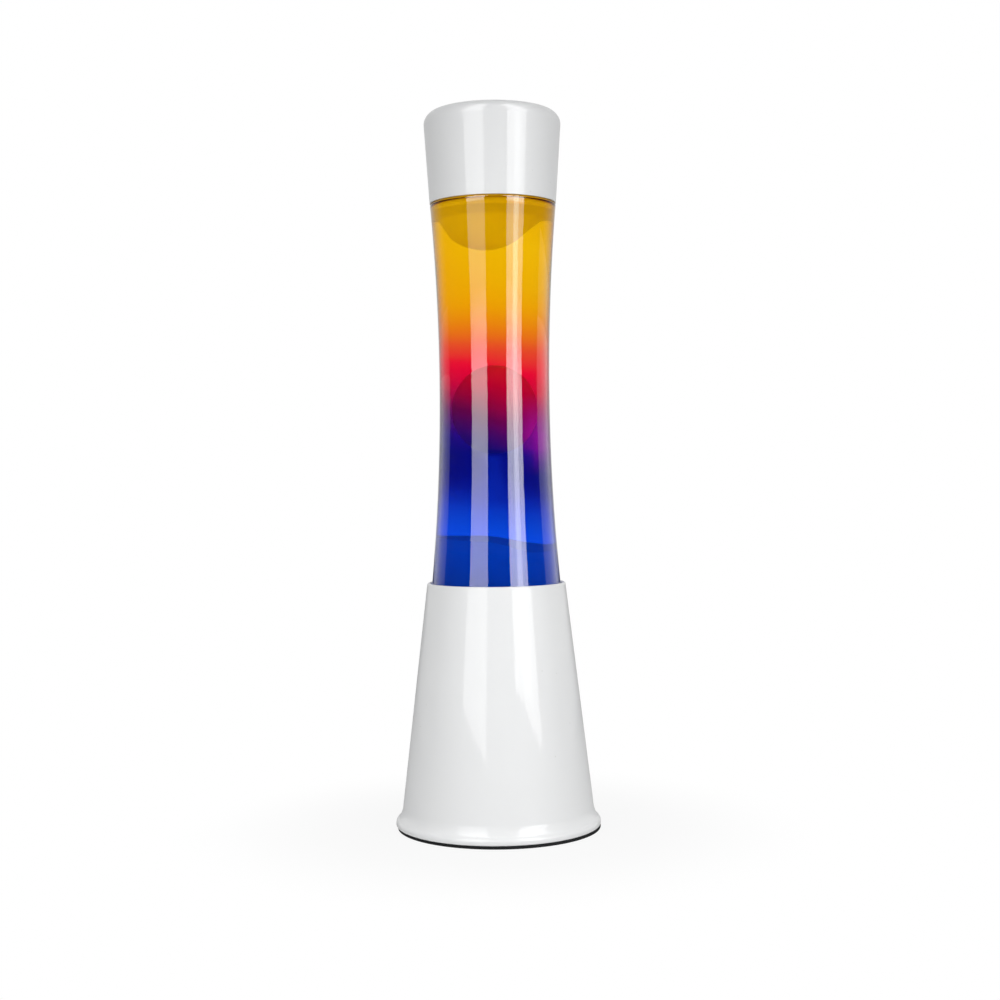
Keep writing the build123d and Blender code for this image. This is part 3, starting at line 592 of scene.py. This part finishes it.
# ---- Bulb ----
# A small reflector bulb: a blown envelope, silvered inside up to the shoulder and frosted in
# front, in a threaded brass cap with a disc of black glass and a blob of solder.
cap_low, cap_high, cap_nose_r, cap_nose_z, cap_r = 25.8, 41.3, 5.6, 22.8, 6.6
cap_wall, cap_wave, thread_start, thread_full, thread_stop = 0.35, 0.35, 1.2, 3, 1.5
walls = tube_outline(cap_r - cap_wall, cap_r, cap_low, cap_high, wave_step)
nose = [(cap_nose_r - cap_wall, cap_nose_z), (cap_nose_r, cap_nose_z)]
screw_cap = turned("bulb_cap_threaded", walls + nose, brass, steps=96)
made_by(brass_thread, screw_cap, {
    "Count": 1.0, "Rise": thread_pitch * mm, "Depth": cap_wave * mm, "Low": cap_low * mm,
    "Low full": (cap_low + thread_start) * mm, "High full": (cap_high - thread_full) * mm,
    "High": (cap_high - thread_stop) * mm})
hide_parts("bulb_cap")
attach(screw_cap, "bulb")

# Blown soda-lime glass: the flank has a mirror of evaporated aluminium, and the etched front
# is an even milky white.
mirror_z, frost_z = 75.0, 76.5
envelope, tree = blank_material("silvered_and_frosted_glass")
place = add(tree, "ShaderNodeTexCoord").outputs["Object"]
height = add(tree, "ShaderNodeSeparateXYZ", {0: place}).outputs["Z"]
etched = mapped(tree, height, mirror_z * mm, frost_z * mm)
silvered = mapped(tree, height, mirror_z * mm, frost_z * mm, 1.0, 0.0)
haze = noise(tree, place, 0.4)
milk = blend(tree, haze, "dfe0dc", "eff0ee")
tone = blend(tree, etched, "d5d7d9", milk)
dull = mapped(tree, etched, 0.0, 1.0, 0.06, 0.55)
skin(tree, {"Base Color": tone, "Metallic": silvered, "Roughness": dull, "IOR": 1.5})
dress(["bulb_glass"], envelope)

# Pressed vitrite glass: opaque violet-black with a glassy skin and small bubbles.
vitrite, tree = blank_material("vitrite_glass")
place = add(tree, "ShaderNodeTexCoord").outputs["Object"]
seeds = add(tree, "ShaderNodeTexVoronoi",
            {"Vector": place, "Scale": 1 / (0.8 * mm)}).outputs["Distance"]
tone = blend(tree, seeds, "2a2230", "120d16")
skin(tree, {"Base Color": tone, "Roughness": 0.12, "IOR": 1.5})
dress(["bulb_insulator"], vitrite)

# Soft solder, cooled from the dip: grey, frosty and a little wrinkled.
dress(["bulb_contact"], metal("soft_solder", "84868a", "b4b6b8", 0.8, (0.3, 0.5)))
# Drawn nickel and tungsten wire: grey, with fine drawn lines.
dress(["bulb_leads", "bulb_filament"],
      metal("drawn_wire", "5d5e60", "8e9092", 0.5, (0.3, 0.45), 0.1))

# Lead-free tube glass: clear, with a faint green in its thickness.
stem_glass, tree = blank_material("clear_tube_glass")
place = add(tree, "ShaderNodeTexCoord").outputs["Object"]
cords = noise(tree, place, 4)
relief = bumps(tree, cords, 0.1, 0.1)
skin(tree, {"Base Color": linear("eef6f2"), "Roughness": 0.0, "IOR": 1.5,
            "Transmission Weight": 1.0, "Normal": relief})
dress(["bulb_stem"], stem_glass)


# ---- Bottle ----
# Clear flint glass, blown in a mould to a waisted body, with a punt under its foot, a thick
# shoulder and a short neck with a rolled finish for the crown. Its wall is about 2.6 mm.
seat_z = 102.0
body_r, waist_r, top_r = 35.5, 30.2, 34.5
wall_foot_z, waist_z, shoulder_z, inner_shoulder_z = 131.0, 243.0, 340.3, 337.2
wall, heel_round, punt_r, punt_rise, floor_thick = 2.6, 5.0, 27.0, 5.0, 4.0
shoulder_slope, shoulder_round, inner_round, neck_round = 30.0, 1.2, 4.0, 8.0
neck_r, bore_r, finish_z = 12.7, 9.2, 385.0


def wall_line(inset, high, parts=64):
    """The waisted wall: one arc through its foot, waist and top, set in from the outside."""
    low_point = Vector((body_r - inset, wall_foot_z))
    waist_point = Vector((waist_r - inset, waist_z))
    high_point = Vector((top_r - inset, high))
    a, b = waist_point - low_point, high_point - low_point
    cross = 2 * (a.x * b.y - a.y * b.x)
    centre = low_point + Vector((b.y * a.length_squared - a.y * b.length_squared,
                                 a.x * b.length_squared - b.x * a.length_squared)) / cross
    reach = (low_point - centre).length
    first = math.atan2(low_point.y - centre.y, low_point.x - centre.x) % (2 * math.pi)
    last = math.atan2(high_point.y - centre.y, high_point.x - centre.x) % (2 * math.pi)
    angles = [first + (last - first) * i / parts for i in range(parts + 1)]
    return [(centre.x + reach * math.cos(angle), centre.y + reach * math.sin(angle))
            for angle in angles]


def shoulder_line(side, corner_round, neck, high):
    """From the wall's top over the shoulder's corner, up its slope and into the neck."""
    way = Vector(side[-1]) - Vector(side[-2])
    heading = math.degrees(math.atan2(way.y, way.x))
    corner = run(side[-1], heading, [(corner_round, 180.0 - shoulder_slope - heading)])
    slope = math.radians(shoulder_slope)
    fall = corner[-1][0] - neck - neck_round * (1 - math.sin(slope))
    rise = run(corner[-1], 180.0 - shoulder_slope,
               [(fall / math.cos(slope), 0), (neck_round, shoulder_slope - 90.0)])
    return corner[1:] + rise[1:] + [(neck, high)]


def punt_line(raised, parts=10):
    """The dome under the bottle, whose height falls with the square of the radius."""
    radii = [punt_r * i / parts for i in range(parts + 1)]
    return [(r, seat_z + raised + punt_rise * (1 - (r / punt_r) ** 2)) for r in radii]


def inside_line(inset, high):
    """The bottle's inside from the middle of its floor up to a height in the neck."""
    heel = heel_round - wall / 2
    floor_z = seat_z + floor_thick + inset
    wall_r = body_r - wall - inset
    side = wall_line(wall + inset, inner_shoulder_z)
    turn = run((wall_r - heel, floor_z), 0.0, [(heel, 90.0)])
    return punt_line(floor_thick + inset) + turn + side + shoulder_line(side, inner_round,
                                                                        bore_r - inset, high)


ring_z, ring_r, ring_half, ring_round = 372.0, 14.0, 2.0, 1.2
bead_r, bead_low, bead_round, bead_lip, bead_side = 13.3, 382.0, 1.4, 0.5, 1.1
ring_sill = 0.01
side = wall_line(0.0, shoulder_z)
outside = punt_line(0.0) + run((body_r - heel_round, seat_z), 0.0, [(heel_round, 90.0)]) + side
outside += shoulder_line(side, shoulder_round, neck_r, ring_z - ring_half)[:-1]
outside += run((neck_r, ring_z - ring_half), 0.0,
               [(ring_r - neck_r - ring_round + ring_sill, 0), (ring_round, 90.0),
                (2 * (ring_half - ring_round), 0), (ring_round, 90.0)], step=15.0)
outside += [(neck_r, ring_z + ring_half), (neck_r, bead_low)]
outside += run((bead_r - bead_lip, bead_low), 0.0,
               [(bead_lip, 90.0), (bead_side, 0), (bead_round, 90.0)], step=15.0)
bottle_outline = outside + inside_line(0.0, finish_z)[::-1]

# Flint glass, fire-polished: quite clear, with a trace of blue-green, and a wall that waves
# slowly by a few hundredths, as glass does that was blown against a mould. Seen edge on, where
# one looks through its length, it is darker, which draws the bottle's outline.
flint, tree = blank_material("blown_flint_glass")
place = add(tree, "ShaderNodeTexCoord").outputs["Object"]
tall = add(tree, "ShaderNodeMapping", {"Vector": place, "Scale": (1.0, 1.0, 0.35)}).outputs[0]
waves = noise(tree, tall, 16, 1.0)
relief = bumps(tree, waves, 0.12, 0.6)
edge_on = add(tree, "ShaderNodeLayerWeight", {"Blend": 0.5}).outputs["Facing"]
depth = mapped(tree, edge_on, 0.45, 0.85, kind="SMOOTHSTEP")
tone = blend(tree, depth, "fafdfc", "8a8c8d")
skin(tree, {"Base Color": tone, "Roughness": 0.0, "IOR": 1.52, "Transmission Weight": 1.0,
            "Normal": relief})
bottle = turned("bottle", bottle_outline, flint, steps=256)

# The same glass where the liquid wets it: the liquid takes nearly all of its reflection away.
wetted, tree = blank_material("wetted_flint_glass")
place = add(tree, "ShaderNodeTexCoord").outputs["Object"]
waves = noise(tree, place, 16, 1.0)
relief = bumps(tree, waves, 0.05, 0.6)
skin(tree, {"Base Color": linear("fafdfc"), "Roughness": 0.0, "IOR": 1.52,
            "Specular Tint": linear("101010"), "Transmission Weight": 1.0, "Normal": relief})
bottle.data.materials.append(wetted)
bore_line = set((round(r, 3), round(z, 3)) for r, z in inside_line(0.0, finish_z))
for face in bottle.data.polygons:
    spots = [bottle.data.vertices[i].co / mm for i in face.vertices]
    if all((round(math.hypot(x, y), 3), round(z, 3)) in bore_line for x, y, z in spots):
        face.material_index = 1
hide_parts("bottle_glass")
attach(bottle, "bottle")


# ---- Crown and liner ----
# A disc of lacquered tinplate, its skirt pressed into 21 flutes that lock under the neck's
# bead, with a soft sealing disc inside.
flute_count, crown_sheet, crown_r, crown_round, skirt_turn = 21, 0.35, 13.0, 0.9, -78.0
crown_z, crown_low, crown_edge_r, flute_depth, plain_rim = 386.15, 380.15, 14.05, 0.55, 1.6
crown_top = run((0.0, crown_z), 0.0, [(crown_r, 0), (crown_round, skirt_turn)], step=12.0)
skirt_parts = 14
skirt_top, skirt_end = Vector(crown_top[-1]), Vector((crown_edge_r, crown_low))
skirt = [tuple(skirt_top.lerp(skirt_end, i / skirt_parts)) for i in range(1, skirt_parts + 1)]
crown_face = crown_top + skirt
crown_outline = crown_face + [(max(r, 0.0), z) for r, z in beside(crown_face, -crown_sheet)[::-1]]

# Tinplate under clear gold lacquer, rolled: a warm silver with faint rolling lines.
tinplate = metal("lacquered_tinplate", "a9a28c", "d3cdb8", 1.5, (0.2, 0.35), 0.3)
crown = turned("crown", crown_outline, tinplate, steps=flute_count * 12)

# The flutes are full at the skirt's edge: the heights where they would fade lie far below it.
made_by(pressed_wave(tinplate), crown, {
    "Count": float(flute_count), "Depth": flute_depth * mm, "Low": -1.0, "Low full": -0.5,
    "High full": crown_low * mm, "High": (crown_z - plain_rim) * mm})
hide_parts("crown_cap")
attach(crown, "bottle")

# Foamed sealing compound: an off-white plastic, dull and faintly grained.
liner, tree = blank_material("sealing_compound")
place = add(tree, "ShaderNodeTexCoord").outputs["Object"]
grain = noise(tree, place, 0.5)
tone = blend(tree, grain, "d8d6cb", "e8e6dc")
skin(tree, {"Base Color": tone, "Roughness": 0.6, "IOR": 1.5})
dress(["crown_liner"], liner)


# ---- Heating coil ----
# A length of bright spring wire wound to 20 loops and laid as a ring on the bottle's floor,
# where it warms the wax and breaks the skin that would keep sunken wax apart.
coil_ring_r, coil_loop_r, wire_r, coil_turns, coil_arc = 24.0, 3.1, 0.6, 20, 346.0
coil_gap, loop_points = 0.3, 28
floor_fall = punt_rise * coil_ring_r / punt_r
floor_slope = 2 * floor_fall / punt_r
coil_floor = seat_z + floor_thick + punt_rise - floor_fall * coil_ring_r / punt_r
coil_z = coil_floor + (coil_loop_r + wire_r) * math.hypot(1.0, floor_slope) + coil_gap

# Drawn stainless spring wire: bright, with a fine drawn grain.
spring_wire = metal("drawn_spring_wire", "9fa2a5", "c9cccf", 0.6, (0.15, 0.3))
coil_mesh = bpy.data.meshes.new("heating_coil_wire")
coil = bpy.data.objects.new("heating_coil_wire", coil_mesh)
bpy.context.scene.collection.objects.link(coil)
tree, wanted = geometry_tree("ring_of_coiled_wire", {
    "Points": "Int", "Turns": "Float", "Arc": "Float", "Ring radius": "Float",
    "Loop radius": "Float", "Wire radius": "Float", "Height": "Float"})
line = add(tree, "GeometryNodeMeshLine", {"Count": wanted["Points"]}).outputs[0]
index = add(tree, "GeometryNodeInputIndex").outputs[0]
last = calc(tree, "SUBTRACT", wanted["Points"], 1.0)
share = calc(tree, "DIVIDE", index, last)
ring_angle = calc(tree, "MULTIPLY", share, wanted["Arc"])
turns = calc(tree, "MULTIPLY", share, wanted["Turns"])
loop_angle = calc(tree, "MULTIPLY", turns, 2 * math.pi)
cosine = calc(tree, "COSINE", loop_angle)
sine = calc(tree, "SINE", loop_angle)
reach = calc(tree, "MULTIPLY_ADD", cosine, wanted["Loop radius"], wanted["Ring radius"])
height = calc(tree, "MULTIPLY_ADD", sine, wanted["Loop radius"], wanted["Height"])
x = calc(tree, "COSINE", ring_angle)
y = calc(tree, "SINE", ring_angle)
x = calc(tree, "MULTIPLY", x, reach)
y = calc(tree, "MULTIPLY", y, reach)
spot = add(tree, "ShaderNodeCombineXYZ", {0: x, 1: y, 2: height}).outputs[0]
placed = add(tree, "GeometryNodeSetPosition", {"Geometry": line, "Position": spot}).outputs[0]
path = add(tree, "GeometryNodeMeshToCurve", {"Mesh": placed}).outputs[0]
profile = add(tree, "GeometryNodeCurvePrimitiveCircle",
              {"Resolution": 12, "Radius": wanted["Wire radius"]}).outputs[0]
wire = add(tree, "GeometryNodeCurveToMesh",
           {"Curve": path, "Profile Curve": profile, "Fill Caps": True}).outputs[0]
close_tree(tree, wire, spring_wire)
made_by(tree, coil, {
    "Points": coil_turns * loop_points + 1, "Turns": float(coil_turns),
    "Arc": math.radians(coil_arc), "Ring radius": coil_ring_r * mm,
    "Loop radius": coil_loop_r * mm, "Wire radius": wire_r * mm, "Height": coil_z * mm})
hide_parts("heating_coil")
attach(coil, "bottle")


# ---- Dyed liquid ----
# Water with salts and dye, filled so that the colours lie in layers: blue at the foot, red at
# the waist, amber at the top. It wets the glass all round and stands in the neck.
wetting = 0.08
fill_z = 368.0
liquid_outline = inside_line(-wetting, fill_z) + [(0.0, fill_z)]

# A clear dyed solution: colour lies only in its layers, whose borders drift a little, and
# the border of blue and red hangs lower on one side.
dyes = [(130, "003ec4"), (150, "0048e8"), (158, "044cea"), (165, "0446da"), (171, "043ccc"),
        (178, "0428b2"), (185, "020e8c"), (192, "02067e"), (200, "06067a"), (208, "200682"),
        (216, "4c0472"), (224, "6c0260"), (232, "a6004c"), (241, "dc003c"), (251, "f60434"),
        (262, "f44c28"), (272, "f6800e"), (286, "faaa00"), (300, "fab600"), (326, "fec000"),
        (350, "f8b600")]
tilts = [(184, 0.12), (192, 0.18), (207, 0.42), (260, 0.12), (284, 0.12), (308, 0.55), (340, 0.55)]
drift_size, drift_reach = 35, 4.0
sag_half, sag_low, sag_high, sag_end, sag_depth = 16.0, 179.0, 202.0, 208.0, 20.0
bleed_from, bleed_to, bleed_violet = 11.0, 20.0, "c00cb8"
bleed_shares = [(192, 0.0), (200, 0.3), (207, 0.85), (214, 0.95), (222, 0.6), (229, 0.25),
                (236, 0.0)]


def height_ramp(tree, height, stops):
    """A ramp over the height in mm, whose stops are colours or plain values."""
    low, high = stops[0][0], stops[-1][0]
    share = mapped(tree, height, low * mm, high * mm)
    ramp = add(tree, "ShaderNodeValToRGB", {0: share})
    marks = ramp.color_ramp.elements
    while len(marks) < len(stops):
        marks.new(0.5)
    for mark, (z, value) in zip(marks, stops):
        mark.position = (z - low) / (high - low)
        mark.color = linear(value) if isinstance(value, str) else (value, value, value, 1.0)
    return ramp.outputs[0]


def layered_dye(tree, place, lift=0.0):
    """The dye's colour at a place: the layers drift, lean to one side, sag under the ball, and
    bleed into violet at the right. A lift gives the colour from so many mm higher."""
    at = add(tree, "ShaderNodeSeparateXYZ", {0: place}).outputs
    drift = noise(tree, place, drift_size)
    drift = mapped(tree, drift, 0.0, 1.0, (lift - drift_reach) * mm, (lift + drift_reach) * mm)
    tilt = height_ramp(tree, at["Z"], tilts)
    layer = calc(tree, "MULTIPLY_ADD", at["X"], tilt, at["Z"])
    layer = calc(tree, "ADD", layer, drift)
    aside = calc(tree, "ABSOLUTE", at["X"])
    middle = mapped(tree, aside, 0.0, sag_half * mm, 1.0, 0.0, kind="SMOOTHSTEP")
    sag = mapped(tree, at["Z"], sag_low * mm, sag_high * mm, 0.0, -sag_depth * mm)
    below = mapped(tree, at["Z"], sag_high * mm, sag_end * mm, 1.0, 0.0, kind="SMOOTHSTEP")
    sag = calc(tree, "MULTIPLY", sag, below)
    layer = calc(tree, "MULTIPLY_ADD", middle, sag, layer)
    dye = height_ramp(tree, layer, dyes)
    bleed = mapped(tree, at["X"], bleed_from * mm, bleed_to * mm)
    border = height_ramp(tree, at["Z"], bleed_shares)
    bleed = calc(tree, "MULTIPLY", bleed, border)
    return blend(tree, bleed, dye, bleed_violet)


liquid_dye, tree = blank_material("layered_dye_solution")
dye = layered_dye(tree, add(tree, "ShaderNodeTexCoord").outputs["Object"])
skin(tree, {"Base Color": dye, "Roughness": 0.0, "IOR": 1.33, "Specular Tint": linear("101010"),
            "Transmission Weight": 1.0})
solution = turned("dyed_solution", liquid_outline, liquid_dye, steps=256)
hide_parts("liquid")
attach(solution, "bottle")


# ---- Wax ----
# Paraffin wax, loaded so that it sinks cold and floats warm. Some has risen and hangs under the
# shoulder as a dome, a ball floats in the waist, and the rest lies in the foot.
wax_gap = 0.35

# Soft paraffin: milky and translucent, with a dull skin. Its tint from the liquid it hangs in is
# painted light: a faint glow in the dye's colour, made paler, stands for the light that reaches
# the wax through the dye and scatters inside it. The glow's strength is set height by height,
# which paints the wax lighter at some heights and darker at others.
wax, tree = blank_material("soft_paraffin")
place = add(tree, "ShaderNodeTexCoord").outputs["Object"]
cloud = noise(tree, place, 9, 3.0)
tone = blend(tree, cloud, "c6bfb8", "d6cfc8")
relief = bumps(tree, cloud, 0.2, 0.3)
dye = layered_dye(tree, place, 8.0)
# Painted light: the glow's colour, the dye's colour made paler.
light_through_dye = add(tree, "ShaderNodeGamma", {"Color": dye, "Gamma": 0.5}).outputs[0]
height = add(tree, "ShaderNodeSeparateXYZ", {0: place}).outputs["Z"]
# Painted light: the glow's strength at each height in mm, lighter or darker by height.
painted_glow_by_height = [(162, 0.24), (195, 0.40), (216, 0.43), (230, 0.31), (248, 0.24), (300, 0.39)]
glow = height_ramp(tree, height, painted_glow_by_height)
skin(tree, {"Base Color": tone, "Roughness": 0.5, "IOR": 1.08, "Specular IOR Level": 0.0,
            "Emission Color": light_through_dye, "Emission Strength": glow, "Normal": relief})

dome_z, dome_r, dome_turn, dome_flank, dome_rim, rim_slope = 316.0, 18.0, 56.0, 10.5, 4.0, 10.0
dome_shift, dome_shift_end, dome_shift_fade = -3.2, 336.0, 8.0
dome_moves = [(dome_r, dome_turn), (dome_flank, 0), (dome_rim, rim_slope - dome_turn)]
dome = run((0.0, dome_z), 0.0, dome_moves, step=3.0)
inside = inside_line(wax_gap, fill_z - wax_gap)
meets = dome[-1][1] + math.tan(math.radians(rim_slope)) * (body_r - wall - dome[-1][0])
upper = [point for point in inside if point[1] > meets + 1.0]
top_wax = turned("wax_dome", dome + upper + [(0.0, fill_z - wax_gap)], wax, steps=192)
for vertex in top_wax.data.vertices:
    share = max(0.0, min(1.0, (dome_shift_end - vertex.co.z / mm) / dome_shift_fade))
    vertex.co.x += dome_shift * mm * share * share * (3 - 2 * share)
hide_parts("wax_top")
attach(top_wax, "bottle")

blob_z, blob_r, blob_half = 228.4, 17.8, 24.4
blob_parts = 48
angles = [math.pi * i / blob_parts for i in range(blob_parts + 1)]
blob_outline = [(blob_r * math.sin(angle), blob_z - blob_half * math.cos(angle))
                for angle in angles]
blob = turned("wax_ball", blob_outline, wax, steps=128)
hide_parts("wax_blob")
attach(blob, "blob")

pool_z, pool_fall, fall_from, fall_to, pool_bow = 159.0, 7.2, -6.0, 25.0, 600.0
floor_end, wall_end, parts = 150.0, 153.0, 24
pool_floor = [point for point in inside if point[1] < floor_end]
pool_side = wall_line(wall + wax_gap, inner_shoulder_z)
pool_wall = [point for point in pool_side if floor_end <= point[1] < wall_end]
pool_edge = pool_wall[-1] if pool_wall else pool_floor[-1]
pool_top = [(pool_edge[0] * (1 - i / parts), pool_edge[1]) for i in range(1, parts + 1)]
pool = turned("wax_pool_settled", pool_floor + pool_wall + pool_top, wax, steps=192)
wax_wall = wall_line(wall + wax_gap, inner_shoulder_z, 400)
for vertex in pool.data.vertices:
    x, y, z = (value / mm for value in vertex.co)
    if z > pool_edge[1] - 1e-3:
        share = max(0.0, min(1.0, (x - fall_from) / (fall_to - fall_from)))
        surface_z = pool_z - pool_fall * share * share * (3 - 2 * share) - y * y / pool_bow
        narrowed = min(wax_wall, key=lambda spot: abs(spot[1] - surface_z))[0] / pool_edge[0]
        vertex.co = Vector((x * narrowed, y * narrowed, surface_z)) * mm
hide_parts("wax_pool")
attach(pool, "bottle")


# ---- Cap ----
# A steel cup, spun like the cone and coated white, that sits on the bottle's shoulder and
# hides the crown.
cap_rim_z, cap_rim_r, cap_top_r, cap_top_z = 341.8, 34.7, 37.6, 392.1
cap_round, cap_sheet = 7.0, 0.9
cap_taper = math.atan2(cap_top_r - cap_rim_r, cap_top_z - cap_rim_z - cap_round)
side_length = (cap_top_z - cap_rim_z - cap_round * (1 + math.sin(cap_taper))) / math.cos(cap_taper)
lean = 90.0 - math.degrees(cap_taper)
cap_face = run((cap_rim_r, cap_rim_z), lean, [(side_length, 0), (cap_round, 180.0 - lean)])
cap_face.append((0.0, cap_top_z))
cap_inner = beside(cap_face, cap_sheet)
cap_inner[0] = (cap_rim_r - cap_sheet / math.cos(cap_taper), cap_rim_z)
cap_inner[-1] = (0.0, cap_top_z - cap_sheet)
edge = 0.25
inner_rim_r = cap_inner[0][0]
rim_bottom = [(inner_rim_r, cap_rim_z + edge), (inner_rim_r + edge, cap_rim_z),
              (cap_rim_r - edge, cap_rim_z)]
cap_face[0] = (cap_rim_r + edge * math.tan(cap_taper), cap_rim_z + edge)
cap = turned("spun_cap", rim_bottom + cap_face + cap_inner[:0:-1], enamel, steps=256)
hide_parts("cap_shell")
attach(cap, "cap")
